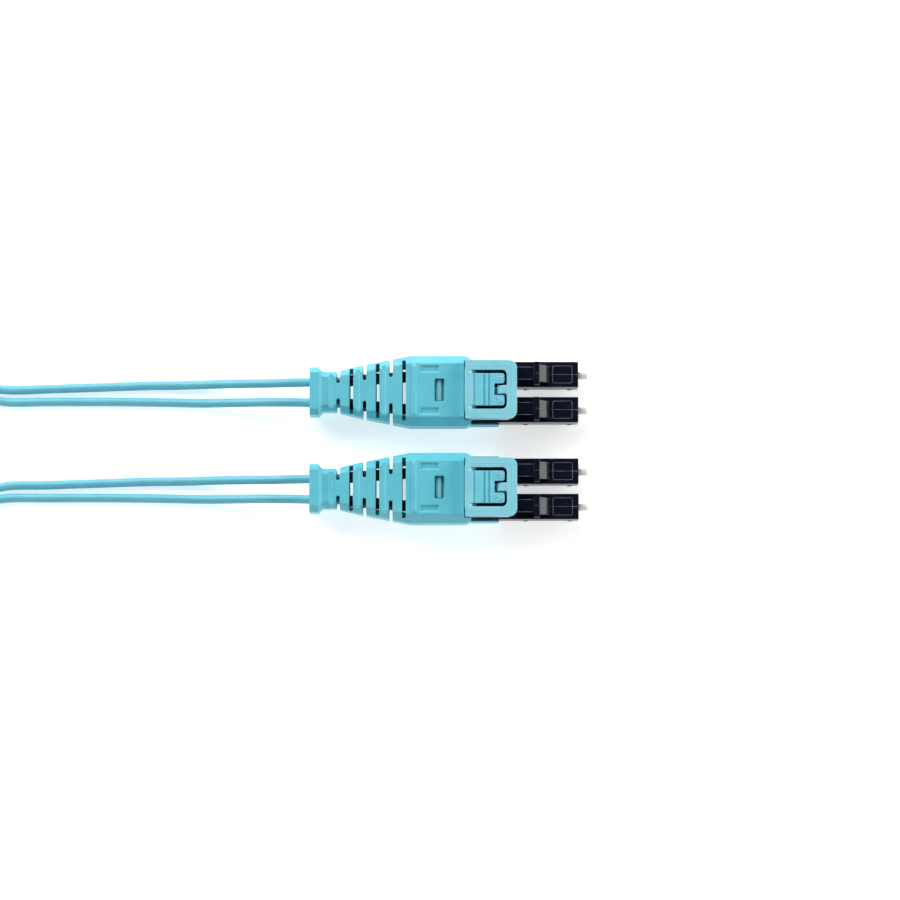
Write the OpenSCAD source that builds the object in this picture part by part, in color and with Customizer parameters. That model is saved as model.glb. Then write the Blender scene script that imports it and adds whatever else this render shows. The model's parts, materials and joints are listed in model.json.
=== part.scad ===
// Duplex fibre patch cord: two push-pull LC ends, laid side by side, on one two-fibre cord.
// +X runs towards the ferrules, +Z is up, and Z = 0 is the surface that the cord lies on.

/* [Layout] */
// Distance between the centre lines of the two ends
end_pitch = 17.14; // [15.5:0.1:24]
// Distance between the two plugs of one end
fibre_pitch = 6.25; // [6:0.05:7.6]

/* [Plugs] */
// Side of the square plug housing
plug_side = 4.5; // [4.4:0.05:5.4]
// Height of the ferrule axis above the surface
axis_z = 3.05; // [2.8:0.05:3.4]
// Front face of the plug housing
plug_front = 22.8; // [21.5:0.1:27]
// Radius of the ferrule
ferrule_r = 0.6245; // [0.5:0.0005:0.75]
// Length of ferrule that stands out of the housing
ferrule_out = 1.77; // [1.2:0.05:3]
// Radial clearance of the ferrule in the housing wall
ferrule_gap = 0.05; // [0.02:0.01:0.1]
// Radius of the cavity around the exposed ferrule
nose_r = 1.5; // [1.3:0.05:1.6]

/* [Latches] */
// Width of a latch arm
arm_w = 2.2; // [1.6:0.1:2.4]
// Width over a latch's two ears
ear_w = 4.1; // [3.4:0.1:4.4]
// Thickness of a latch arm
arm_t = 0.7; // [0.5:0.05:0.8]
// Radius of the latch's hinge bead
bead_r = 0.4; // [0.3:0.05:0.45]
// Radial clearance of a hinge bead in its groove
bead_gap = 0.05; // [0.02:0.01:0.1]

/* [Clip] */
// How far each side of the clip stands in from the housings' outer flanks
clip_inset = 0.225; // [0.15:0.005:0.3]
// Top face of the clip
clip_top = 10; // [9.8:0.1:10.6]
// Thickness of the clip's top plate
clip_t = 0.9; // [0.7:0.05:1]
// Front face of the clip
clip_front = 11.9; // [11.5:0.1:12.4]
// Width of the trigger tongue
trigger_w = 5.68; // [5.2:0.05:5.8]
// Gap beside the trigger tongue
trigger_gap = 0.6; // [0.4:0.05:0.8]

/* [Boot] */
// Side wall of the boot's grip
boot_side = 0.725; // [0.6:0.025:1.5]
// Clearance of the boot on the housings, over both sides
boot_gap = 0.25; // [0.15:0.01:0.4]
// Height of the boot's grip
boot_h = 8.8; // [8.7:0.05:9]
// Roof and floor thickness of the boot
boot_wall = 1; // [0.8:0.05:1.1]
// Thickness of the side walls of the boot's jaw
jaw_wall = 0.3; // [0.25:0.05:0.5]
// Rear end of the boot
boot_rear = -24.57; // [-30:0.01:-24]
// Length of the flange at the boot's rear end
flange_l = 1.67; // [1.2:0.01:2]
// How far the boot can be pulled back
boot_travel = 1.2; // [0.8:0.1:1.3]
// Width of a flex slot in the boot's tail
flex_slot = 0.63; // [0.4:0.01:0.8]
// Spacing of the flex slots and notches
flex_pitch = 2.32; // [2:0.01:2.4]

/* [Cord] */
// Diameter of one fibre's jacket
jacket_d = 1.6; // [1.4:0.1:1.8]
// Diameter of the protective sleeve inside the boot
sleeve_d = 2; // [1.8:0.05:2.05]
// Mean radius of the stored coil
coil_r = 17.5; // [16:0.1:24]
// Spacing of the strands in the coil
strand_pitch = 1.7; // [1.65:0.01:1.9]
// Thickness of the tie band
tie_t = 0.4; // [0.3:0.05:0.6]

/* [Hidden] */
$fn = 48;
ENDS = ["upper", "lower"];
PORTS = ["b", "a"];
END_PARTS = ["boot", "clip", "trigger"];
PORT_PARTS = ["plug", "latch", "ferrule", "holder", "spring", "backpost", "crimp", "sleeve", "lead"];

eps = 0.01;
half = plug_side / 2;
port_y = fibre_pitch / 2;
plug_z0 = axis_z - half;
plug_z1 = axis_z + half;
plug_rear = 3.4;
clip_w = fibre_pitch + plug_side - 2 * clip_inset;
boot_w = fibre_pitch + plug_side + boot_gap + 2 * boot_side;
ferrule_tip = plug_front + ferrule_out;
shank_r = ferrule_r - 0.2;
shank_front = 18.5;
neck_r = ferrule_r + 0.1755;
spring_wire = 0.12;
spring_r = neck_r + 0.17;
nose_back = 18.4;
nose_wall = 0.4;
spring_front = nose_back - nose_wall - 1;
post_front = 12.4;
post_r = 1.2;
collar_r = 1.45;
barrel_r = 1.3;
barrel_rear = -3.2;
crimp_rear = -4.6;
sleeve_rear = -18.6;
tail_z = boot_h / 2;

// Hinge lines, in the X-Z plane: the latch's and the trigger tongue's.
latch_x = 17.3;
latch_z = plug_z1 - 0.05;
trigger_x = 4.45;
trigger_z = clip_top - 0.7;

// The clip's walls: its sides hang beside the latches, above the housings.
side_in = clip_w / 2 - 0.5;
side_foot = plug_z1 + 1.9;
web = port_y - half;
clip_rear = 2.82;
bridge_x = 10.3;
deck_top = boot_h - boot_wall - 0.2;
lug_front = -1.35;
lug_top = deck_top + 0.6;
slot_x1 = 10.1;
slot_y = trigger_w / 2 + trigger_gap;
finger_w = trigger_w / 2 - 1.05;

// The boot's tail narrows in three straight stretches: station, half width, half height.
grip_x = -6.9;
TAIL = [[-20, 3.5, 3], [-16, 4.45, 3.6], [grip_x, boot_w / 2, boot_h / 2]];
CAVITY = [[-20.2, 2.95, 2], [-8, 4.05, 3], [-6, port_y + sleeve_d / 2 + 0.175, 3.2]];
chamfer = 1.475;
boot_top_front = 2.66;
cavity_w = fibre_pitch + plug_side + boot_gap;
jaw_y = cavity_w / 2 + jaw_wall;
jaw_top = plug_z1 - 0.5;
jaw_front = 8.82;
flange_end = boot_rear + flange_l;
cavity_rear = TAIL[0][0] - 0.2;
jacket_y = 1.83;
arm_rise = 1.3;
arm_lift = 1.8;
foot_z = latch_z + arm_lift + arm_t + 0.2;
bridge_z = latch_z + 3.1;

// Routes of the four leads, from the sleeve to the coil.
LEADS = [
    [
        [-18.6, 10.52, 4.35], [-21, 10.45, 4.4], [-24.6, 10.38, 4.4], [-27, 10.33, 4.35],
        [-29.5, 10.3, 4.1], [-32.5, 10.28, 3.6], [-36, 10.32, 2.8], [-40, 10.35, 1.9],
        [-44, 10.3, 1.2], [-49, 10.2, 0.85], [-54, 10.15, 0.8], [-60, 9.95, 0.8],
        [-66, 9.75, 0.8], [-72, 9.55, 0.8], [-78.5, 9.4, 0.8], [-83, 10.15, 0.85],
        [-87, 11.5, 0.9], [-92, 13.4, 1], [-96.5, 15, 1.1], [-100.9, 16.5, 1.15]
    ],
    [
        [-18.6, 6.62, 4.35], [-21, 6.69, 4.4], [-24.6, 6.76, 4.4], [-27, 6.82, 4.35],
        [-29.5, 6.87, 4.1], [-32.5, 6.93, 3.6], [-36, 6.95, 2.8], [-40, 6.98, 1.9],
        [-44, 7, 1.2], [-49, 7.13, 0.85], [-54, 7.22, 0.8], [-60, 7.28, 0.8],
        [-66, 7.28, 0.8], [-72, 7.27, 0.8], [-78.5, 7.23, 0.8], [-83, 8.2, 0.85],
        [-87, 9.75, 0.9], [-92, 11.65, 1], [-97.6, 13.55, 1.1]
    ],
    [
        [-18.6, -6.62, 4.35], [-21, -6.69, 4.4], [-24.6, -6.76, 4.4], [-27, -6.81, 4.35],
        [-29.5, -6.84, 4.1], [-32.5, -6.86, 3.6], [-36, -6.82, 2.8], [-40, -6.79, 1.9],
        [-44, -6.84, 1.2], [-49, -6.94, 0.85], [-54, -6.99, 0.8], [-60, -7.19, 0.8],
        [-66, -7.39, 0.8], [-72, -7.59, 0.8], [-78.5, -7.75, 0.9], [-83, -9.15, 1.5],
        [-87, -10.75, 2.8], [-92, -12.6, 4.9], [-97.6, -14.6, 6.2]
    ],
    [
        [-18.6, -10.52, 4.35], [-21, -10.45, 4.4], [-24.6, -10.38, 4.4], [-27, -10.32, 4.35],
        [-29.5, -10.27, 4.1], [-32.5, -10.21, 3.6], [-36, -10.19, 2.8], [-40, -10.16, 1.9],
        [-44, -10.14, 1.2], [-49, -10.01, 0.85], [-54, -9.92, 0.8], [-60, -9.86, 0.8],
        [-66, -9.86, 0.8], [-72, -9.87, 0.8], [-78.5, -9.93, 0.9], [-83, -10.95, 1.5],
        [-87, -12.5, 2.8], [-92, -14.4, 4.8], [-96.5, -16, 6], [-100.9, -17.5, 6.3]
    ]
];

// The coil lies beyond the leads, on the part of the tie that passes under it.
coil_x = -113;
coil_y = -0.5;
coil_w = 3 * strand_pitch + jacket_d + 0.05;
coil_h = 3 * strand_pitch + jacket_d;

function end_y(e) = (e == 0 ? 1 : -1) * end_pitch / 2;
function unit(v) = v / norm(v);
function top_at(x) = x < TAIL[1][0]
    ? lookup(x, [[TAIL[0][0], TAIL[0][2]], [TAIL[1][0], TAIL[1][2]]])
    : lookup(x, [[TAIL[1][0], TAIL[1][2]], [TAIL[2][0], TAIL[2][2]]]);

// A box from its lower and upper corners.
module block(x, y, z) {
    translate([x[0], y[0], z[0]]) cube([x[1] - x[0], y[1] - y[0], z[1] - z[0]]);
}

// An outline in plan, square at the back and with round front corners.
module tab(x0, x1, w, r) {
    translate([x0, -w / 2]) square([x1 - x0 - r, w]);
    translate([x0, r - w / 2]) square([x1 - x0, w - 2 * r]);
    for (y = [-1, 1]) translate([x1 - r, y * (w / 2 - r)]) circle(r);
}

// An outline in the X-Z plane, made w wide about Y = 0.
module across(w) {
    translate([0, w / 2, 0]) rotate([90, 0, 0]) linear_extrude(w) children();
}

// A round bar along X between two stations, about the ferrule axis.
module bar(x0, x1, r) {
    translate([x0, 0, axis_z]) rotate([0, 90, 0]) cylinder(h = x1 - x0, r = r);
}

// A tube with flat ends, swept along points with one ring of sides at each.
module swept(points, r, sides) {
    n = len(points);
    rings = [
        for (i = [0 : n - 1])
            let (
                t = unit(points[min(i + 1, n - 1)] - points[max(i - 1, 0)]),
                u = unit(cross(t, [0, 0, 1])),
                v = cross(u, t)
            )
            for (k = [0 : sides - 1])
                points[i] + r * (cos(360 * (k + 0.5) / sides) * u + sin(360 * (k + 0.5) / sides) * v)
    ];
    walls = [
        for (i = [0 : n - 2], k = [0 : sides - 1])
            let (a = i * sides, b = a + sides, m = (k + 1) % sides)
            [a + k, a + m, b + m, b + k]
    ];
    first = [for (k = [sides - 1 : -1 : 0]) k];
    last = [for (k = [0 : sides - 1]) (n - 1) * sides + k];
    polyhedron(rings, concat([first], walls, [last]));
}

// One cross-section of the boot, a thin slab with its four long edges chamfered.
module section(x, w, h, c) {
    translate([x, 0, tail_z]) rotate([90, 0, 90]) linear_extrude(eps) polygon([
        [w - c, -h], [w, -h + c * 1.2], [w, h - c * 1.2], [w - c, h],
        [c - w, h], [-w, h - c * 1.2], [-w, c * 1.2 - h], [c - w, -h]
    ]);
}

// A raised grip rib with round ends, lying across the boot.
module rib(x, w, z) {
    translate([x, -w, z]) rotate([-90, 0, 0]) cylinder(h = 2 * w, r = 0.4);
    for (y = [-w, w]) translate([x, y, z]) sphere(0.4);
}

module boot() {
    color([0.39, 0.76, 0.84]) difference() {
        union() {
            intersection() {
                translate([grip_x, 0, 0]) rotate([90, 0, 90]) linear_extrude(12) polygon([
                    [boot_w / 2 - chamfer, 0], [boot_w / 2, 1.8], [boot_w / 2, boot_h - 1.8],
                    [boot_w / 2 - chamfer, boot_h], [chamfer - boot_w / 2, boot_h],
                    [-boot_w / 2, boot_h - 1.8], [-boot_w / 2, 1.8], [chamfer - boot_w / 2, 0]
                ]);
                linear_extrude(boot_h) {
                    translate([grip_x, -boot_w / 2]) square([boot_top_front - grip_x, boot_w]);
                    translate([grip_x, 1.38 - boot_w / 2]) square([4.04 - grip_x, boot_w - 2.76]);
                    for (y = [-1, 1])
                        translate([boot_top_front, y * (boot_w / 2 - 1.38)]) circle(1.38);
                }
            }
            hull() for (t = TAIL) section(t[0], t[1], t[2], min(chamfer, t[1] / 3.5));
            section_run(boot_rear, flange_end, 4.25, 3.6, 1);
            section_run(flange_end - 0.1, TAIL[0][0] + 0.1, 3.5, 3, 1);
            hull() {
                section(flange_end - 0.05, 4.1, 3.4, 1);
                section(flange_end + 0.6, 3.5, 3, 1);
            }
            for (m = [0, 1]) translate([0, 0, m * boot_h]) mirror([0, 0, m]) {
                rib(-20.8, 2.75, tail_z + 3 - 0.1);
                rib(-16.05, 3.5, tail_z + top_at(-16.05) - 0.1);
                rib(-11.45, 4.2, tail_z + top_at(-11.45) - 0.12);
            }
            rib(-6.1, 4.15, boot_h - 0.1);
            translate([2, 0, 0]) rotate([90, 0, 90]) linear_extrude(jaw_front - 2) polygon([
                [-jaw_y, jaw_top], [-jaw_y, 0.5], [0.5 - jaw_y, 0],
                [jaw_y - 0.5, 0], [jaw_y, 0.5], [jaw_y, jaw_top]
            ]);
        }
        hull() for (t = CAVITY) section(t[0], t[1], t[2], 0.5);
        block([-6.1, 12], [-cavity_w / 2, cavity_w / 2], [plug_z0 - 0.1, boot_h - boot_wall]);
        block([boot_top_front, 12], [-clip_w / 2 - 0.1, clip_w / 2 + 0.1], [2, clip_top]);
        for (k = [0 : 2]) {
            x = -17.2 + 2 * k * flex_pitch;
            w = [3.95, 4.75, 5.3][k];
            for (m = [0, 1]) translate([0, 0, m * boot_h]) mirror([0, 0, m])
                block([x - flex_slot / 2, x + flex_slot / 2], [-w, w], [tail_z + 1.2, boot_h + 1]);
            n = x - flex_pitch;
            y = [1.35, 1.8, 2.3][k] + flex_slot / 2;
            for (s = [-1, 1]) {
                block([n - flex_slot / 2, n + flex_slot / 2], [min(s * y, s * 9), max(s * y, s * 9)], [-1, 10]);
                translate([n, s * y, -1]) cylinder(h = 11, d = flex_slot);
            }
        }
        for (s = [-1, 1]) {
            block([-5.1, -1.8], [s * 3.72 - 0.55, s * 3.72 + 0.55], [boot_h - 0.3, boot_h + 1]);
            translate([boot_rear - 1, s * jacket_y, tail_z]) rotate([0, 90, 0])
                cylinder(h = cavity_rear - boot_rear + 1.2, r = jacket_d / 2 + 0.2);
        }
        block([-2.54, -0.86], [-1.975, 1.975], [tail_z, boot_h + 1]);
        block([-2.7, lug_front + boot_travel + 0.05], [-2.1, 2.1], [tail_z, lug_top + 0.12]);
    }
}

// A straight stretch of the boot with chamfered long edges.
module section_run(x0, x1, w, h, c) {
    hull() {
        section(x0, w, h, c);
        section(x1 - eps, w, h, c);
    }
}

module clip() {
    color([0.57, 0.82, 0.88]) difference() {
        union() {
            translate([0, 0, clip_top - clip_t]) linear_extrude(clip_t)
                tab(clip_rear, clip_front, clip_w, 1.35);
            // rear wall, front bridge and the two side walls
            block([clip_rear, 4.3], [-clip_w / 2, clip_w / 2], [deck_top - 0.7, clip_top - clip_t]);
            block([4.3 - eps, 4.7], [-side_in - eps, side_in + eps], [deck_top - 0.7, trigger_z - 0.35]);
            block([bridge_x, clip_front - 0.8], [-side_in - eps, side_in + eps], [bridge_z, clip_top - clip_t]);
            block([bridge_x, clip_front], [-side_in + 1, side_in - 1], [bridge_z, clip_top - clip_t]);
            for (s = [-1, 1]) block(
                [clip_rear, clip_front - 1.35],
                [min(s * side_in, s * clip_w / 2), max(s * side_in, s * clip_w / 2)],
                [side_foot, clip_top - clip_t]
            );
            // web between the two housings, and the deck that reaches back into the boot
            block([-3, bridge_x + eps], [-web, web], [plug_z0 + 0.5, plug_z1]);
            block([bridge_x, clip_front], [-web, web], [plug_z0 + 0.5, bridge_z + eps]);
            block([-3, 4.3], [-web, web], [plug_z1 - eps, deck_top - 0.7 + eps]);
            block([-3, clip_rear + eps], [-4.6, 4.6], [deck_top - 0.7, deck_top]);
            across(3.7) polygon([
                [-2.45, deck_top - eps], [-2.45, deck_top + 0.15], [-1.85, lug_top],
                [lug_front, lug_top], [lug_front, deck_top - eps]
            ]);
        }
        // opening around the trigger tongue, with its wedge-shaped rear ends
        difference() {
            translate([0, 0, clip_top - clip_t - eps]) linear_extrude(clip_t + 1)
                tab(4.3, slot_x1, 2 * slot_y, 0.87);
            across(1.5) polygon([
                [8.42, clip_top - clip_t - 1], [8.42, clip_top - 0.75], [9.3, clip_top - 0.2],
                [slot_x1 + 1, clip_top - 0.1], [slot_x1 + 1, clip_top - clip_t - 1]
            ]);
        }
        for (s = [-1, 1]) translate([0, s * (slot_y - 0.3), 0]) across(0.6) polygon([
            [3.4, clip_top + eps], [4.35, clip_top - 0.6], [4.35, clip_top + eps]
        ]);
        translate([trigger_x, 0, trigger_z]) rotate([90, 0, 0])
            cylinder(h = 2 * slot_y, r = bead_r + bead_gap, center = true);
    }
}

module trigger() {
    color([0.57, 0.82, 0.88]) difference() {
        union() {
            translate([trigger_x, 0, trigger_z]) rotate([90, 0, 0])
                cylinder(h = trigger_w, r = bead_r, center = true);
            translate([0, 0, clip_top - clip_t]) linear_extrude(clip_t - 0.05) {
                translate([trigger_x, -trigger_w / 2]) square([7.92 - trigger_x, trigger_w]);
                for (s = [-1, 1]) translate([0, s * (trigger_w - finger_w) / 2])
                    tab(7.9, 9.69, finger_w, 0.43);
            }
            for (s = [-1, 1]) block(
                [8.7, 9.4], [min(s * 2.1, s * 2.75), max(s * 2.1, s * 2.75)],
                [foot_z, clip_top - clip_t + eps]
            );
        }
        block([6.03, 6.43], [-4, 4], [clip_top - 0.35, clip_top + 1]);
        block([6.88, 7.19], [-4, 4], [clip_top - 0.35, clip_top + 1]);
    }
}

module plug() {
    color([0.05, 0.05, 0.08]) difference() {
        union() {
            block([plug_rear, plug_front], [-half, half], [plug_z0, plug_z1]);
            for (x = [13.2, 21]) block([x, x + 0.7], [-half - 0.1, half + 0.1], [plug_z0 - 0.12, plug_z0 + 0.6]);
        }
        bar(plug_rear - 1, post_front, post_r);
        bar(post_front - eps, nose_back - nose_wall, 1.3);
        bar(nose_back - 1, nose_back + 1, ferrule_r + ferrule_gap);
        bar(nose_back, plug_front + 1, nose_r);
        translate([latch_x, 0, latch_z]) rotate([90, 0, 0])
            cylinder(h = 3.3, r = bead_r + bead_gap, center = true);
        difference() {
            block([18.26, 21.74], [-1.55, 1.55], [plug_z1 - 0.1, plug_z1 + 1]);
            block([18.38, 21.62], [-1.43, 1.43], [0, plug_z1 + 1]);
        }
    }
}

module latch() {
    color([0.12, 0.12, 0.16]) {
        translate([latch_x, 0, latch_z]) rotate([90, 0, 0])
            cylinder(h = 3.1, r = bead_r, center = true);
        intersection() {
            across(3.1) polygon([
                [latch_x + 0.3, latch_z + 0.2], [latch_x + 0.05, latch_z + 0.85], [latch_x - 0.15, latch_z + 1.15],
                [15.85, latch_z + 2.2], [15.44, latch_z + 2.25], [15.44, latch_z + arm_rise],
                [latch_x - 0.35, latch_z + 0.12]
            ]);
            linear_extrude(20) tab(15, latch_x + 0.31, 3.1, 0.6);
        }
        block([14.93, 15.89], [-ear_w / 2, ear_w / 2], [latch_z + arm_rise, latch_z + 2.25]);
        across(arm_w) polygon([
            [8.6, latch_z + arm_lift], [15, latch_z + arm_rise], [15, latch_z + arm_rise + arm_t],
            [8.6, latch_z + arm_lift + arm_t]
        ]);
    }
}

module ferrule() {
    color([0.95, 0.95, 0.96]) translate([0, 0, axis_z]) rotate([0, 90, 0]) rotate_extrude() polygon([
        [0, 16.4], [shank_r, 16.4], [shank_r, shank_front], [ferrule_r, shank_front],
        [ferrule_r, ferrule_tip - 0.3], [ferrule_r - 0.17, ferrule_tip], [0, ferrule_tip]
    ]);
}

module holder() {
    color([0.75, 0.76, 0.78]) difference() {
        union() {
            bar(spring_front, nose_back - nose_wall - 0.02, spring_r + 0.13);
            bar(14.6, spring_front + eps, neck_r);
        }
        bar(16.4, 20, shank_r);
        bar(14, 17, 0.2);
    }
}

// A compression spring between the back post and the ferrule holder.
module spring() {
    turns = 6;
    x0 = post_front + spring_wire + 0.01;
    x1 = spring_front - spring_wire - 0.01;
    color([0.7, 0.7, 0.72]) swept([
        for (i = [0 : turns * 14])
            let (a = i * 360 / 14)
            [x0 + (x1 - x0) * i / (turns * 14), spring_r * cos(a), axis_z + spring_r * sin(a)]
    ], spring_wire, 6);
}

module backpost() {
    color([0.7, 0.71, 0.73]) difference() {
        union() {
            bar(plug_rear - eps, post_front, post_r);
            bar(plug_rear - 1, plug_rear, collar_r);
            bar(barrel_rear, plug_rear - 1 + eps, barrel_r);
        }
        bar(barrel_rear - 1, post_front + 1, 0.85);
    }
}

module crimp() {
    color([0.55, 0.56, 0.58]) difference() {
        bar(crimp_rear, plug_rear - 1.6, barrel_r + 0.3);
        bar(barrel_rear, plug_rear, barrel_r);
        bar(crimp_rear - 1, barrel_rear + 1, 0.8);
    }
}

// The black sleeve over one jacket, from the crimp to the boot's tail.
module sleeve() {
    color([0.06, 0.06, 0.07]) swept([
        [crimp_rear, port_y, axis_z], [crimp_rear - 0.9, port_y, axis_z], [-6.8, 2.96, axis_z + 0.12],
        [-8, 2.85, axis_z + 0.25], [-10.5, 2.65, 3.55],
        [-13, 2.47, 3.85], [-15.5, 2.25, 4.1], [-17.2, 2.1, 4.25], [sleeve_rear, 1.95, 4.35]
    ], sleeve_d / 2, 12);
}

module lead(e, s) {
    color([0.43, 0.75, 0.82]) swept(LEADS[2 * e + s], jacket_d / 2, 8);
}

// Coil of the stored length, one solid with the outer shape of all its strands.
module coil() {
    color([0.43, 0.75, 0.82]) translate([coil_x, coil_y, tie_t]) rotate_extrude($fn = 96)
        translate([coil_r - coil_w / 2, 0]) square([coil_w, coil_h]);
}

// A band round the coil, where its strands run level.
module tie() {
    color([0.15, 0.15, 0.16]) translate([coil_x, coil_y, 0]) rotate([0, 0, 173])
        rotate_extrude(angle = 14, $fn = 96) difference() {
            translate([coil_r - coil_w / 2 - tie_t, 0]) square([coil_w + 2 * tie_t, coil_h + 2 * tie_t]);
            translate([coil_r - coil_w / 2, tie_t]) square([coil_w, coil_h]);
        }
}

for (e = [0, 1]) {
    translate([0, end_y(e), 0]) {
        boot();
        clip();
        trigger();
    }
    for (s = [0, 1]) {
        translate([0, end_y(e), 0]) mirror([0, s, 0]) translate([0, port_y, 0]) {
            plug();
            latch();
            ferrule();
            holder();
            spring();
            backpost();
            crimp();
        }
        translate([0, end_y(e), 0]) mirror([0, s, 0]) {
            sleeve();
        }
        lead(e, s);
    }
}
coil();
tie();
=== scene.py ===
import json
import math

import bmesh
import bpy
import numpy as np
from mathutils import Matrix, Vector


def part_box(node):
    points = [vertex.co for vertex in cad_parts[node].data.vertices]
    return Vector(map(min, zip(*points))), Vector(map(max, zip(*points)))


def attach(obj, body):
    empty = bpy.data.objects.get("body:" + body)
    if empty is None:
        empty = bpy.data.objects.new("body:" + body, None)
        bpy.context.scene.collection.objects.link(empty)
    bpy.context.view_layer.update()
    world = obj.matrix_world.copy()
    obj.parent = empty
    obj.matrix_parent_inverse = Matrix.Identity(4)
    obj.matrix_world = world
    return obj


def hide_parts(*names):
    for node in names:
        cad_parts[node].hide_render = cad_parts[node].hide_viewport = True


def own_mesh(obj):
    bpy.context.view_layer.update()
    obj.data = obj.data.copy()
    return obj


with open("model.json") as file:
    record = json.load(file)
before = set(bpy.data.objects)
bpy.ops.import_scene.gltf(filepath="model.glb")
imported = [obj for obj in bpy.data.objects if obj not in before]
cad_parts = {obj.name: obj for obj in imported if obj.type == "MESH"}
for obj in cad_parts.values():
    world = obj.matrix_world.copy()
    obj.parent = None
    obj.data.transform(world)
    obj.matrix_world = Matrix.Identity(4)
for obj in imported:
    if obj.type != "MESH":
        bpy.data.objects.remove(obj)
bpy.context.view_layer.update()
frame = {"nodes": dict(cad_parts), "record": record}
mm = 0.001

ends = {"upper": 1, "lower": -1}   # which side of the middle each end lies on
ports = {"b": 1, "a": -1}
layout = {
    "endPitch": 17.14,
    "fibrePitch": 6.25,
    "axisHeight": 3.05,
}
print("frame loaded")

# camera

viewer = {
    "target": (0.15, -1.5, 3.0),   # mm, middle of the view
    "tilt": 5.25,                  # degrees off straight down, seen from the front
    "width": 159.3,                # mm across the view at the target
    "lens": 135,                   # mm, on a sensor of the width below
    "sensor": 36,
    "near": 0.01,                  # m, where the view starts
}


def placeCamera():
    data = bpy.data.cameras.new("viewer")
    data.lens = viewer["lens"]
    data.sensor_width = viewer["sensor"]
    data.clip_start = viewer["near"]
    reach = viewer["width"] * mm * viewer["lens"] / viewer["sensor"]
    tilt = math.radians(viewer["tilt"])
    camera = bpy.data.objects.new("viewer", data)
    back = reach * Vector((0, -math.sin(tilt), math.cos(tilt)))
    camera.location = Vector(viewer["target"]) * mm + back
    camera.rotation_euler = (tilt, 0, 0)
    bpy.context.collection.objects.link(camera)
    bpy.context.scene.camera = camera


placeCamera()
print("camera placed")

# surfaces


def gridMesh(name, points, joined=False):
    # points[i, j] is row i along the piece and column j around it; neighbours in both make the quads.
    # The first and last rows are joined to each other, or else closed with one face each.
    rows, around = points.shape[:2]
    i, j = np.meshgrid(np.arange(rows if joined else rows - 1), np.arange(around), indexing="ij")
    k, n = (j + 1) % around, (i + 1) % rows
    faces = np.stack([i * around + j, i * around + k, n * around + k, n * around + j], -1)
    faces = faces.reshape(-1, 4).tolist()
    if not joined:
        faces += [list(range(around))[::-1], list(range((rows - 1) * around, rows * around))]
    mesh = bpy.data.meshes.new(name)
    mesh.from_pydata((points.reshape(-1, 3) * mm).tolist(), [], faces)
    outward(mesh)
    return mesh


def outward(mesh):
    # Merges doubled vertices and turns every face outwards.
    work = bmesh.new()
    work.from_mesh(mesh)
    bmesh.ops.remove_doubles(work, verts=work.verts, dist=0.0005 * mm)
    bmesh.ops.recalc_face_normals(work, faces=work.faces)
    work.to_mesh(mesh)
    work.free()
    mesh.shade_smooth()


def turned(name, stations, radii, centre, sides=48):
    # A profile of radii along X, turned once round the line through centre.
    angle = np.linspace(0, 2 * np.pi, sides, endpoint=False)
    x, r = np.asarray(stations, float), np.asarray(radii, float)
    points = np.stack([np.repeat(x[:, None], sides, 1), centre[0] + np.outer(r, np.cos(angle)),
                       centre[1] + np.outer(r, np.sin(angle))], -1)
    return gridMesh(name, points)


def carried(name, path, radius, sides=16, up=(0, 0, 1)):
    # A circle carried along a path, square to it: centre + r (cos a u + sin a v). radius may change along it.
    path = np.asarray(path, float)
    radius = np.broadcast_to(np.asarray(radius, float), len(path))
    t = np.gradient(path, axis=0)
    t /= np.linalg.norm(t, axis=1)[:, None]
    u = np.cross(t, up)
    u /= np.linalg.norm(u, axis=1)[:, None]
    v = np.cross(u, t)
    a = np.linspace(0, 2 * np.pi, sides, endpoint=False)
    ring = np.cos(a)[:, None] * u[:, None] + np.sin(a)[:, None] * v[:, None]
    return gridMesh(name, path[:, None] + radius[:, None, None] * ring)


def eased(points, count):
    # A smooth curve through the points: a cubic between each two, with the slope of its neighbours' chord.
    p = np.asarray(points, float)
    slope = np.gradient(p, axis=0)
    s = np.linspace(0, len(p) - 1, count)
    i = np.minimum(s.astype(int), len(p) - 2)
    t = (s - i)[:, None]
    return ((2 * t**3 - 3 * t**2 + 1) * p[i] + (t**3 - 2 * t**2 + t) * slope[i]
            + (3 * t**2 - 2 * t**3) * p[i + 1] + (t**3 - t**2) * slope[i + 1])


# cords

cordSizes = {
    "jacket": 1.6,
    "strandPitch": 1.7,
    "coilMiddle": (-113, -0.5),
    "coilRadius": 17.5,
    "firstLayer": 1.2,      # height of the lowest strands, which lie on the tie
    "enters": 71,           # degrees round the coil, where the leads join and leave it
    "leaves": 289,
    "turns": 6,
    "stepsPerTurn": 24,
    "firstStep": 333,       # degrees at which the pair first steps over to its next place
    "stepSweep": 64,
    "stepsPerPoint": 5,
    "sides": 20,
    "places": 7,            # steps that the pair makes on its way through the coil
}

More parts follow.
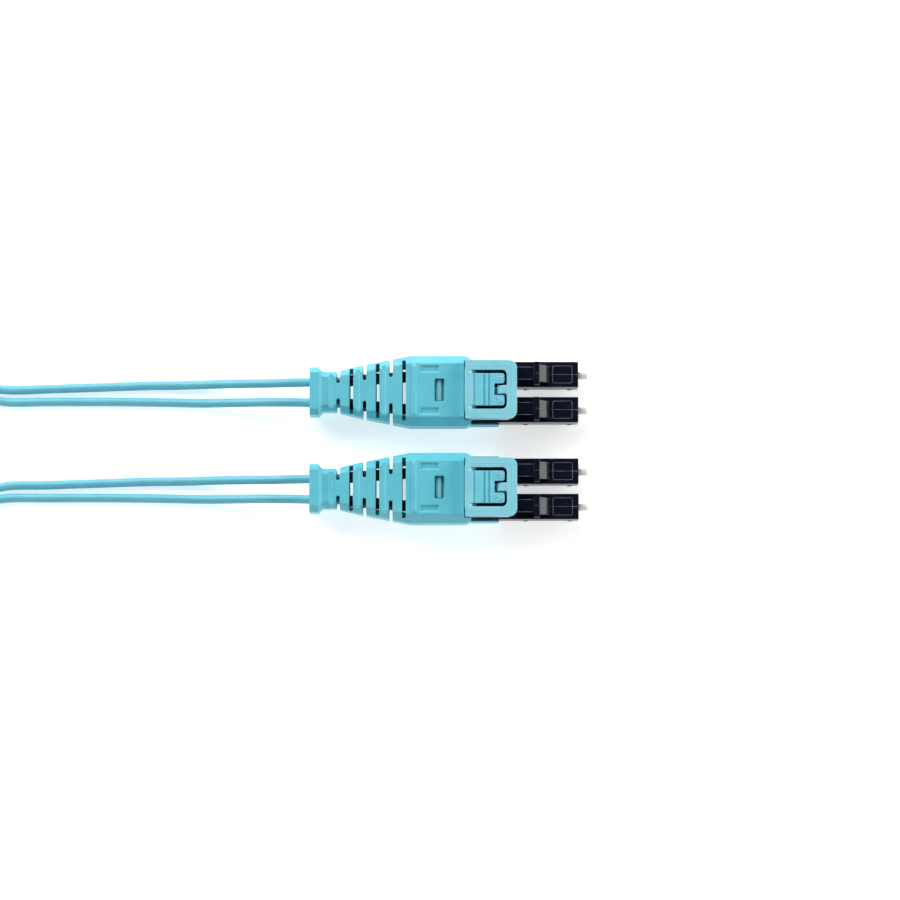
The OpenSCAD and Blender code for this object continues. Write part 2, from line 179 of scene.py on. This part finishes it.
# the four leads, from the sleeve in the boot to the coil, in mm
leadRoutes = {
    "upper_b": [
        (-18.6, 10.52, 4.35), (-21, 10.45, 4.4), (-24.6, 10.38, 4.4), (-27, 10.33, 4.35),
        (-29.5, 10.3, 4.1), (-32.5, 10.28, 3.6), (-36, 10.32, 2.8), (-40, 10.35, 1.9),
        (-44, 10.3, 1.2), (-49, 10.2, 0.85), (-54, 10.15, 0.8), (-60, 9.95, 0.8),
        (-66, 9.75, 0.8), (-72, 9.55, 0.8), (-78.5, 9.4, 0.8), (-83, 10.15, 0.85),
        (-87, 11.5, 0.9), (-92, 13.4, 1), (-96.5, 15, 1.1), (-100.9, 16.5, 1.15),
    ],
    "upper_a": [
        (-18.6, 6.62, 4.35), (-21, 6.69, 4.4), (-24.6, 6.76, 4.4), (-27, 6.82, 4.35),
        (-29.5, 6.87, 4.1), (-32.5, 6.93, 3.6), (-36, 6.95, 2.8), (-40, 6.98, 1.9),
        (-44, 7, 1.2), (-49, 7.13, 0.85), (-54, 7.22, 0.8), (-60, 7.28, 0.8),
        (-66, 7.28, 0.8), (-72, 7.27, 0.8), (-78.5, 7.23, 0.8), (-83, 8.2, 0.85),
        (-87, 9.75, 0.9), (-92, 11.65, 1), (-97.6, 13.55, 1.1),
    ],
    "lower_b": [
        (-18.6, -6.62, 4.35), (-21, -6.69, 4.4), (-24.6, -6.76, 4.4), (-27, -6.81, 4.35),
        (-29.5, -6.84, 4.1), (-32.5, -6.86, 3.6), (-36, -6.82, 2.8), (-40, -6.79, 1.9),
        (-44, -6.84, 1.2), (-49, -6.94, 0.85), (-54, -6.99, 0.8), (-60, -7.19, 0.8),
        (-66, -7.39, 0.8), (-72, -7.59, 0.8), (-78.5, -7.75, 0.9), (-83, -9.15, 1.5),
        (-87, -10.75, 2.8), (-92, -12.6, 4.9), (-97.6, -14.6, 6.2),
    ],
    "lower_a": [
        (-18.6, -10.52, 4.35), (-21, -10.45, 4.4), (-24.6, -10.38, 4.4), (-27, -10.32, 4.35),
        (-29.5, -10.27, 4.1), (-32.5, -10.21, 3.6), (-36, -10.19, 2.8), (-40, -10.16, 1.9),
        (-44, -10.14, 1.2), (-49, -10.01, 0.85), (-54, -9.92, 0.8), (-60, -9.86, 0.8),
        (-66, -9.86, 0.8), (-72, -9.87, 0.8), (-78.5, -9.93, 0.9), (-83, -10.95, 1.5),
        (-87, -12.5, 2.8), (-92, -14.4, 4.8), (-96.5, -16, 6), (-100.9, -17.5, 6.3),
    ],
}
# each fibre crosses from port b of one end to port a of the other
fibres = {"fibreOuter": ("upper_b", "lower_a", 0.5), "fibreInner": ("upper_a", "lower_b", -0.5)}


def coilTurns(inPair):
    # A circle on which the pair steps to its next place once in each 296 degrees: in, up, out, up, in, up, out.
    # A step is the smooth cubic 3t^2 - 2t^3. On the first and last step up the two strands also change sides,
    # one over the other, so both come out the same length.
    pitch = cordSizes["strandPitch"]
    sweep = cordSizes["stepSweep"]
    first = cordSizes["enters"]
    last = cordSizes["leaves"] + 360 * cordSizes["turns"]
    count = round((last - first) / 360 * cordSizes["stepsPerTurn"]) + 1
    angle = np.linspace(first, last, count)
    middle = np.full(count, cordSizes["coilRadius"] + pitch)
    height = np.full(count, float(cordSizes["firstLayer"]))
    side = np.full(count, 1.0)
    for place in range(cordSizes["places"]):
        t = np.clip((angle - cordSizes["firstStep"] - place * (360 - sweep)) / sweep, 0, 1)
        step = t * t * (3 - 2 * t)
        if place % 2 == 0:
            middle += step * 2 * pitch * (1 if place % 4 else -1)
        elif place == 3:
            height += step * pitch
        else:
            goesOver = inPair * side[0] * (1 if place == 1 else -1) > 0
            arc = np.sin(np.pi * (np.minimum(step, 0.5) if goesOver else np.maximum(step, 0.5)))
            height += pitch * (arc if goesOver else 1 - arc)
            side *= np.cos(np.pi * step)
    radius = middle + pitch * inPair * side
    theta = np.radians(angle)
    x = cordSizes["coilMiddle"][0] + radius * np.cos(theta)
    y = cordSizes["coilMiddle"][1] + radius * np.sin(theta)
    return np.column_stack([x, y, height])


def layFibre(name, start, finish, inPair):
    # A round tube carried along one smooth line: a lead, its turns in the coil, and the other end's lead.
    route = np.vstack([leadRoutes[start], coilTurns(inPair), leadRoutes[finish][::-1]])
    line = eased(route, cordSizes["stepsPerPoint"] * (len(route) - 1) + 1)
    mesh = carried(name, line, cordSizes["jacket"] / 2, cordSizes["sides"])
    fibre = bpy.data.objects.new(name, mesh)
    bpy.context.collection.objects.link(fibre)
    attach(fibre, "cord")
    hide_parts(start.replace("_", "_lead_"), finish.replace("_", "_lead_"), "coil")
    return fibre


cords = [layFibre(name, *facts) for name, facts in fibres.items()]
print("cords laid")

# materials


def nodeMaker(material):
    nodes, links = material.node_tree.nodes, material.node_tree.links

    def add(kind, inputs=None, **settings):
        node = nodes.new(kind)
        for key, value in settings.items():
            setattr(node, key, value)
        for key, value in (inputs or {}).items():
            if isinstance(value, bpy.types.NodeSocket):
                links.new(value, node.inputs[key])
            else:
                node.inputs[key].default_value = value
        return node

    return add


surface = {
    "cloudDetail": 3.0,
    "grainDetail": 2.0,
    "toneBetween": (0.3, 0.7),     # where in the cloud the dark and the light tone are reached
    "grainDepth": 0.00002,         # m
    "glowDepth": 0.0006,           # m
    "coatRoughness": 0.15,
}


def mouldedPlastic(name, look):
    # Cloudy colour at two sizes, a fine grain in the surface and gloss that varies a little over it.
    material = bpy.data.materials.new(name)
    material.use_nodes = True
    shader = material.node_tree.nodes["Principled BSDF"]
    add = nodeMaker(material)
    place = add("ShaderNodeTexCoord").outputs["Object"]
    cloud = add("ShaderNodeTexNoise", {"Vector": place, "Scale": look["cloud"],
                                       "Detail": surface["cloudDetail"]})
    grain = add("ShaderNodeTexNoise", {"Vector": place, "Scale": look["grain"],
                                       "Detail": surface["grainDetail"]})
    tone = add("ShaderNodeValToRGB", {"Fac": cloud.outputs["Fac"]})
    for stop, position, shade in zip(tone.color_ramp.elements, surface["toneBetween"], ("dark", "light")):
        stop.position = position
        stop.color = (*look[shade], 1)
    gloss = add("ShaderNodeMapRange", {"Value": grain.outputs["Fac"], "To Min": look["gloss"][0],
                                       "To Max": look["gloss"][1]})
    bump = add("ShaderNodeBump", {"Height": grain.outputs["Fac"], "Strength": look["bump"],
                                  "Distance": surface["grainDepth"]})
    material.node_tree.links.new(tone.outputs["Color"], shader.inputs["Base Color"])
    material.node_tree.links.new(gloss.outputs["Result"], shader.inputs["Roughness"])
    material.node_tree.links.new(bump.outputs["Normal"], shader.inputs["Normal"])
    shader.inputs["Specular IOR Level"].default_value = look.get("specular", 0.5)
    shader.inputs["Metallic"].default_value = look.get("metallic", 0.0)
    shader.inputs["Subsurface Weight"].default_value = look.get("glow", 0.0)
    shader.inputs["Subsurface Scale"].default_value = surface["glowDepth"]
    shader.inputs["Coat Weight"].default_value = look.get("coat", 0.0)
    shader.inputs["Coat Roughness"].default_value = surface["coatRoughness"]
    return material


looks = {
    "boot_aqua": {"dark": (0.1, 0.5, 0.61), "light": (0.13, 0.55, 0.66), "cloud": 260.0, "grain": 5200.0,
                  "gloss": (0.36, 0.48), "bump": 0.25, "glow": 0.06},
    "clip_aqua": {"dark": (0.22, 0.6, 0.7), "light": (0.26, 0.64, 0.74), "cloud": 320.0, "grain": 6500.0,
                  "gloss": (0.24, 0.34), "bump": 0.06, "glow": 0.12, "coat": 0.2},
    "tongue_aqua": {"dark": (0.15, 0.57, 0.68), "light": (0.18, 0.61, 0.72), "cloud": 420.0, "grain": 6500.0,
                    "gloss": (0.24, 0.34), "bump": 0.12, "glow": 0.12, "coat": 0.2},
    # lighter than the tongue's own aqua: a painted highlight on the raised letters
    "letter_aqua_highlight": {"dark": (0.34, 0.68, 0.78), "light": (0.4, 0.73, 0.83), "cloud": 420.0, "grain": 6500.0,
                    "gloss": (0.24, 0.34), "bump": 0.12, "glow": 0.12, "coat": 0.2},
    "jacket_aqua": {"dark": (0.11, 0.46, 0.58), "light": (0.14, 0.51, 0.63), "cloud": 420.0, "grain": 5200.0,
                    "gloss": (0.34, 0.44), "bump": 0.2},
    "plug_black": {"dark": (0.0012, 0.003, 0.01), "light": (0.0025, 0.005, 0.014), "cloud": 380.0,
                   "grain": 6000.0, "gloss": (0.24, 0.34), "bump": 0.12},
    # lighter grey than plug_black: a painted highlight along the panel outline, the latch arms' edges and the
    # seams
    "plug_edge_highlight": {"dark": (0.1, 0.105, 0.13), "light": (0.17, 0.175, 0.2), "cloud": 900.0,
                  "grain": 6000.0, "gloss": (0.2, 0.3), "bump": 0.1},
    "sleeve_black": {"dark": (0.004, 0.004, 0.006), "light": (0.008, 0.008, 0.01), "cloud": 500.0,
                     "grain": 7000.0, "gloss": (0.3, 0.4), "bump": 0.3},
    "zirconia": {"dark": (0.89, 0.89, 0.9), "light": (0.93, 0.93, 0.94), "cloud": 700.0, "grain": 9000.0,
                 "gloss": (0.2, 0.28), "bump": 0.03},
    "metal": {"dark": (0.55, 0.56, 0.58), "light": (0.66, 0.67, 0.69), "cloud": 900.0, "grain": 9000.0,
              "gloss": (0.25, 0.4), "bump": 0.1, "metallic": 1.0},
    "steel": {"dark": (0.5, 0.5, 0.52), "light": (0.62, 0.62, 0.64), "cloud": 900.0, "grain": 9000.0,
              "gloss": (0.2, 0.3), "bump": 0.05, "metallic": 1.0},
    "tie_black": {"dark": (0.012, 0.012, 0.014), "light": (0.03, 0.03, 0.034), "cloud": 3000.0,
                  "grain": 5200.0, "gloss": (0.8, 0.95), "bump": 0.8},
}
finishes = {name: mouldedPlastic(name + "_finish", look) for name, look in looks.items()}
slotOf = {s["node"]: s["material_slot"] for s in frame["record"]["subparts"]}
bodyOf = {n: b for b, names in frame["record"]["behaviour"]["bodies"].items() for n in names}
for nodeName, shape in frame["nodes"].items():
    shape.data.materials.clear()
    shape.data.materials.append(finishes[slotOf[nodeName]])
for cord in cords:
    cord.data.materials.append(finishes["jacket_aqua"])
print("materials made")

# mesh helpers


def newPiece(name, mesh, node, finish=None, replaced=()):
    # Gives a mesh its finish, and the body and slot of the CAD node that it belongs to or stands for.
    piece = bpy.data.objects.new(name, mesh)
    bpy.context.collection.objects.link(piece)
    mesh.materials.clear()
    mesh.materials.append(finishes[finish or slotOf[node]])
    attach(piece, bodyOf[node])
    if replaced:
        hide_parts(*replaced)
    return piece


def moulded(node, look):
    # A copy of the CAD shape, its triangles merged, set on a fine even grid and relaxed, so that every edge and
    # corner is rounded as a mould leaves it. Flat places then need few faces, so the grid is thinned.
    source = frame["nodes"][node]
    mesh = source.data.copy()
    mesh.transform(source.matrix_world)
    work = bmesh.new()
    work.from_mesh(mesh)
    bmesh.ops.remove_doubles(work, verts=work.verts, dist=0.001 * mm)
    work.to_mesh(mesh)
    work.free()
    rough = bpy.data.objects.new("rough", mesh)
    bpy.context.collection.objects.link(rough)
    grid = rough.modifiers.new("grid", "REMESH")
    grid.mode = "VOXEL"
    grid.voxel_size = look["grid"] * mm
    relax = rough.modifiers.new("relax", "SMOOTH")
    relax.factor = 0.5
    relax.iterations = look["relax"]
    thin = rough.modifiers.new("thin", "DECIMATE")
    thin.ratio = look["keep"]
    done = bpy.data.meshes.new_from_object(rough.evaluated_get(bpy.context.evaluated_depsgraph_get()))
    bpy.data.objects.remove(rough)
    bpy.data.meshes.remove(mesh)
    done.shade_smooth()
    return done


def corner(node):
    return np.array(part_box(node)[0]) / mm


def placeCopies(mesh, first, others, finish):
    # The same moulding serves each place: a copy is shifted by the distance between the CAD nodes' corners.
    for node in (first, *others):
        copy = mesh.copy()
        copy.transform(Matrix.Translation(Vector((corner(node) - corner(first)) * mm)))
        copy.name = f"{node}_moulding"
        newPiece(copy.name, copy, node, finish, replaced=(node,))


# mouldings

mouldings = {
    "boot": {"grid": 0.09, "relax": 2, "keep": 0.17},
    "clip": {"grid": 0.08, "relax": 2, "keep": 0.25},
    "trigger": {"grid": 0.06, "relax": 3, "keep": 0.4, "finish": "tongue_aqua"},
    "plug": {"grid": 0.075, "relax": 2, "keep": 0.25},
    "latch": {"grid": 0.06, "relax": 4, "keep": 0.4},
}
for part, look in mouldings.items():
    places = [n for n in frame["nodes"] if n.split("_")[1:2] == [part]]
    mesh = moulded(places[0], look)
    placeCopies(mesh, places[0], places[1:], look.get("finish"))
    print(part, "moulded,", len(mesh.polygons), "faces")

# fine detail on the two ends

detail = {
    "ferrule": {"shank": 0.4245, "radius": 0.6245, "from": 16.4, "step": 18.5, "tip": 24.57, "bore": 0.063,
                "chamfer": (0.3, 0.2), "chamferSteps": 7, "boreDepth": 0.2},
    "sleeve": {"radius": 1.0, "steps": 72, "route": [
        (-4.6, 3.125, 3.05), (-5.5, 3.125, 3.05), (-6.8, 2.96, 3.17), (-8, 2.85, 3.3), (-10.5, 2.65, 3.55),
        (-13, 2.47, 3.85), (-15.5, 2.25, 4.1), (-17.2, 2.1, 4.25), (-18.6, 1.95, 4.35),
    ]},
    "spring": {"turns": 6, "stepsPerTurn": 20, "from": 12.53, "to": 16.87, "radius": 0.97, "wire": 0.12,
               "seat": 12.4,     # where its rear end stays
               "keep": 0.89},    # its length at full push, as a share of that at rest
    "seam": {"wire": 0.035, "housing": [(17.75, 5.295), (22.77, 5.295)],
             "ramp": [(15.1, 7.485), (15.8, 7.47), (16.5, 6.92), (17.1, 6.42)]},
    # wires along the latch arms' long edges, which carry a painted highlight
    "arm": {"wire": 0.04, "half": 1.07, "line": [(9, 7.7), (14.85, 7.245)]},
    "panel": {"wire": 0.045, "middle": (20, 0), "size": (3.42, 3.04), "corner": 0.25, "height": 5.285},
    "outline": {"wire": 0.09, "middle": (6.9, 0), "size": (8.2, 8.3), "corner": 0.7, "height": 9.965},
    "letters": {"b": ("B", 8.83, 1.98), "a": ("A", 8.83, -1.98), "size": 1.45, "proud": 0.12, "height": 9.96},
}


def endMiddle(end):
    return ends[end] * layout["endPitch"] / 2


def portMiddle(end, port):
    return endMiddle(end) + ports[port] * layout["fibrePitch"] / 2


def roundedLoop(size, radius, steps=10):
    # Four quarter circles joined by straight sides, going once round the middle.
    half = np.asarray(size) / 2 - radius
    angle = np.linspace(0, np.pi / 2, steps)
    quarters = [np.column_stack([sx * half[0] + radius * np.cos(angle + turn),
                                 sy * half[1] + radius * np.sin(angle + turn)])
                for turn, sx, sy in ((0, 1, 1), (np.pi / 2, -1, 1), (np.pi, -1, -1), (1.5 * np.pi, 1, -1))]
    return np.vstack(quarters)


def wireFrame(name, look, y, sides=10):
    # A thin round wire carried along a rounded rectangle, mostly sunk in the face that it lies on.
    flat = roundedLoop(look["size"], look["corner"])
    ahead = np.roll(flat, -1, 0) - np.roll(flat, 1, 0)
    ahead /= np.linalg.norm(ahead, axis=1)[:, None]
    out = np.column_stack([ahead[:, 1], -ahead[:, 0], np.zeros(len(flat))])
    a = np.linspace(0, 2 * np.pi, sides, endpoint=False)
    middle = np.column_stack([flat + look["middle"], np.full(len(flat), look["height"])]) + (0, y, 0)
    ring = np.cos(a)[:, None] * out[:, None] + np.sin(a)[:, None] * np.array([0, 0, 1.0])
    return gridMesh(name, middle[:, None] + look["wire"] * ring, joined=True)


def ferruleShape(name, y, z, look):
    # A narrow shank, a wider straight wall and a tip rounded by a quarter of an ellipse, turned once round X.
    tip, r = look["tip"], look["radius"]
    long, deep = look["chamfer"]
    ease = np.linspace(0, np.pi / 2, look["chamferSteps"])
    chamferX, chamferR = tip - long + long * np.sin(ease), r - deep * (1 - np.cos(ease))
    x = [look["from"], look["step"], look["step"], *chamferX, tip, tip - look["boreDepth"]]
    radii = [look["shank"], look["shank"], r, *chamferR, look["bore"], look["bore"]]
    return turned(name, x, radii, (y, z))


def springShape(name, y, z, side, look):
    # A round wire carried along a helix: x rises evenly, and y and z go round by r cos a and r sin a.
    count = look["turns"] * look["stepsPerTurn"] + 1
    angle = np.linspace(0, 2 * np.pi * look["turns"], count)
    path = np.column_stack([np.linspace(look["from"], look["to"], count),
                            y + side * look["radius"] * np.cos(angle), z + look["radius"] * np.sin(angle)])
    return carried(name, path, look["wire"], 8, (1, 0, 0))


def letterShape(name, end, port):
    # A letter with straight sides, made a mesh and then laid flat on its finger, read from the front.
    look = detail["letters"]
    text, x, y = look[port]
    data = bpy.data.curves.new("letter", "FONT")
    data.body = text
    data.size = look["size"]
    data.extrude = look["proud"]
    data.align_x = data.align_y = "CENTER"
    drawn = bpy.data.objects.new("letter", data)
    bpy.context.collection.objects.link(drawn)
    mesh = bpy.data.meshes.new_from_object(drawn.evaluated_get(bpy.context.evaluated_depsgraph_get()))
    bpy.data.objects.remove(drawn)
    mesh.name = name
    mesh.transform(Matrix.Scale(mm, 4) @ Matrix.Translation((x, y + endMiddle(end), look["height"]))
                   @ Matrix.Rotation(-math.pi / 2, 4, "Z"))
    return mesh


def dressEnd(end):
    middle = endMiddle(end)
    newPiece(f"{end}_clip_outline", wireFrame("outline", detail["outline"], middle), f"{end}_clip")
    for port, side in ports.items():
        y, z = portMiddle(end, port), layout["axisHeight"]
        # raised letter, in a lighter aqua that is a painted highlight
        newPiece(f"{end}_letter_{port}", letterShape("letter", end, port), f"{end}_trigger", "letter_aqua_highlight")
        node = f"{end}_ferrule_{port}"
        newPiece(f"{node}_ground", ferruleShape("ferrule", y, z, detail["ferrule"]), node, replaced=(node,))
        look, node = detail["spring"], f"{end}_spring_{port}"
        wound = newPiece(f"{node}_wire", springShape("spring", y, z, side, look), node, replaced=(node,))
        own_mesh(wound)
        node = f"{end}_sleeve_{port}"
        route = np.array(detail["sleeve"]["route"]) * (1, side, 1) + (0, middle, 0)
        tube = carried("sleeve", eased(route, detail["sleeve"]["steps"]), detail["sleeve"]["radius"], 32)
        newPiece(f"{node}_tube", tube, node, replaced=(node,))
        # the panel's raised outline, in a lighter grey that is a painted highlight along its edge
        newPiece(f"{end}_panel_{port}", wireFrame("panel", detail["panel"], y), f"{end}_plug_{port}", "plug_edge_highlight")
        # thin wires along each latch arm's long edges, there only to carry a painted highlight
        for edge in (1, -1):
            look = detail["arm"]
            path = [(x, y + edge * look["half"], height) for x, height in look["line"]]
            newPiece(f"{end}_arm_{port}_{'left' if edge > 0 else 'right'}",
                     carried("arm", path, look["wire"], 8, (0, 1, 0)), f"{end}_latch_{port}", "plug_edge_highlight")
        # a thin wire on the housing's seam and along the ramp, in a lighter grey that is a painted highlight
        for part, node in (("housing", f"{end}_plug_{port}"), ("ramp", f"{end}_latch_{port}")):
            path = [(x, y, height) for x, height in detail["seam"][part]]
            newPiece(f"{node}_seam", carried("seam", path, detail["seam"]["wire"], 8, (0, 1, 0)), node,
                     "plug_edge_highlight")


for end in ends:
    dressEnd(end)
print("ends dressed")

# tie round the coil

strap = {
    "from": 173, "to": 187,         # degrees round the coil
    "inside": (6.85, 6.8),          # mm, the bundle that it holds
    "corner": 0.9,
    "thick": 0.33,
    "edge": 0.2,                    # rounding of its own section, as a share of its width
    "sag": 0.05,                    # how far the middle hangs below the bundle's
}


def strapBand(name):
    # The strap's own section, a flat rounded rectangle, carried once round the bundle's section: each point is
    # pushed out from the bundle's outline by its depth in the strap, and turned round the coil by its width.
    loop = roundedLoop(strap["inside"], strap["corner"], 12)
    ahead = np.roll(loop, -1, 0) - np.roll(loop, 1, 0)
    ahead /= np.linalg.norm(ahead, axis=1)[:, None]
    out = np.column_stack([ahead[:, 1], -ahead[:, 0]])
    section = roundedLoop((1, 1), strap["edge"], 5) + (0.5, 0.5)
    depth = strap["thick"] * section[:, 1]
    turn = np.radians(strap["from"] + (strap["to"] - strap["from"]) * section[:, 0])
    height = cordSizes["firstLayer"] - cordSizes["jacket"] / 2 + strap["inside"][1] / 2 - strap["sag"]
    radius = cordSizes["coilRadius"] + loop[:, None, 0] + out[:, None, 0] * depth
    z = height + loop[:, None, 1] + out[:, None, 1] * depth
    x = cordSizes["coilMiddle"][0] + radius * np.cos(turn)
    y = cordSizes["coilMiddle"][1] + radius * np.sin(turn)
    return gridMesh(name, np.stack([x, y, z + 0 * x], -1), joined=True)


newPiece("tie_strap", strapBand("tie_strap"), "tie", replaced=("tie",))
print("tie wrapped")

# floor and light

studio = {
    "paper": (0.86, 0.86, 0.86),
    "paperGlow": 0.6,
    "sky": (1.0, 0.08),            # brightness low down and overhead
    "fallsBetween": (0.3, 0.85),   # sine of the height at which it starts and ends falling
    "floorHalf": 1.5,              # m
    "lampsAimAt": (-0.02, 0, 0),
    "lamps": {                     # place, size and power of each softbox
        "key": ((-0.52, 0.74, 0.62), (1.1, 0.8), 17.5),
        "side": ((0.85, 0.1, 0.3), (1.0, 0.4), 7.0),
        "front": ((0.05, -0.9, 0.45), (1.0, 0.5), 3.6),
    },
}


def softbox(name, location, size, power):
    data = bpy.data.lights.new(name, "AREA")
    data.shape = "RECTANGLE"
    data.size, data.size_y = size
    data.energy = power
    lamp = bpy.data.objects.new(name, data)
    lamp.location = location
    aim = Vector(studio["lampsAimAt"]) - Vector(location)
    lamp.rotation_euler = aim.to_track_quat("-Z", "Y").to_euler()
    bpy.context.collection.objects.link(lamp)


def floorAndLight():
    mesh = bpy.data.meshes.new("floor")
    half = studio["floorHalf"]
    mesh.from_pydata([(-half, -half, 0), (half, -half, 0), (half, half, 0), (-half, half, 0)], [],
                     [(0, 1, 2, 3)])
    floor = bpy.data.objects.new("floor", mesh)
    bpy.context.collection.objects.link(floor)
    paper = bpy.data.materials.new("paper")
    paper.use_nodes = True
    look = {"Base Color": (*studio["paper"], 1), "Emission Color": (1, 1, 1, 1),
            "Emission Strength": studio["paperGlow"], "Roughness": 0.9, "Specular IOR Level": 0.1}
    for key, value in look.items():
        paper.node_tree.nodes["Principled BSDF"].inputs[key].default_value = value
    mesh.materials.append(paper)
    world = bpy.data.worlds.new("studio")
    bpy.context.scene.world = world
    world.use_nodes = True
    # bright low down all round and dark overhead
    nodes, links = world.node_tree.nodes, world.node_tree.links
    height = nodes.new("ShaderNodeSeparateXYZ")
    links.new(nodes.new("ShaderNodeTexCoord").outputs["Generated"], height.inputs[0])
    fall = nodes.new("ShaderNodeMapRange")
    fall.interpolation_type = "SMOOTHSTEP"
    for key, value in zip(("From Min", "From Max", "To Min", "To Max"), (*studio["fallsBetween"], *studio["sky"])):
        fall.inputs[key].default_value = value
    links.new(height.outputs["Z"], fall.inputs["Value"])
    links.new(fall.outputs["Result"], nodes["Background"].inputs["Strength"])
    for name, lamp in studio["lamps"].items():
        softbox(name, *lamp)
    bpy.context.scene.view_settings.view_transform = "Standard"


floorAndLight()
print("studio lit")
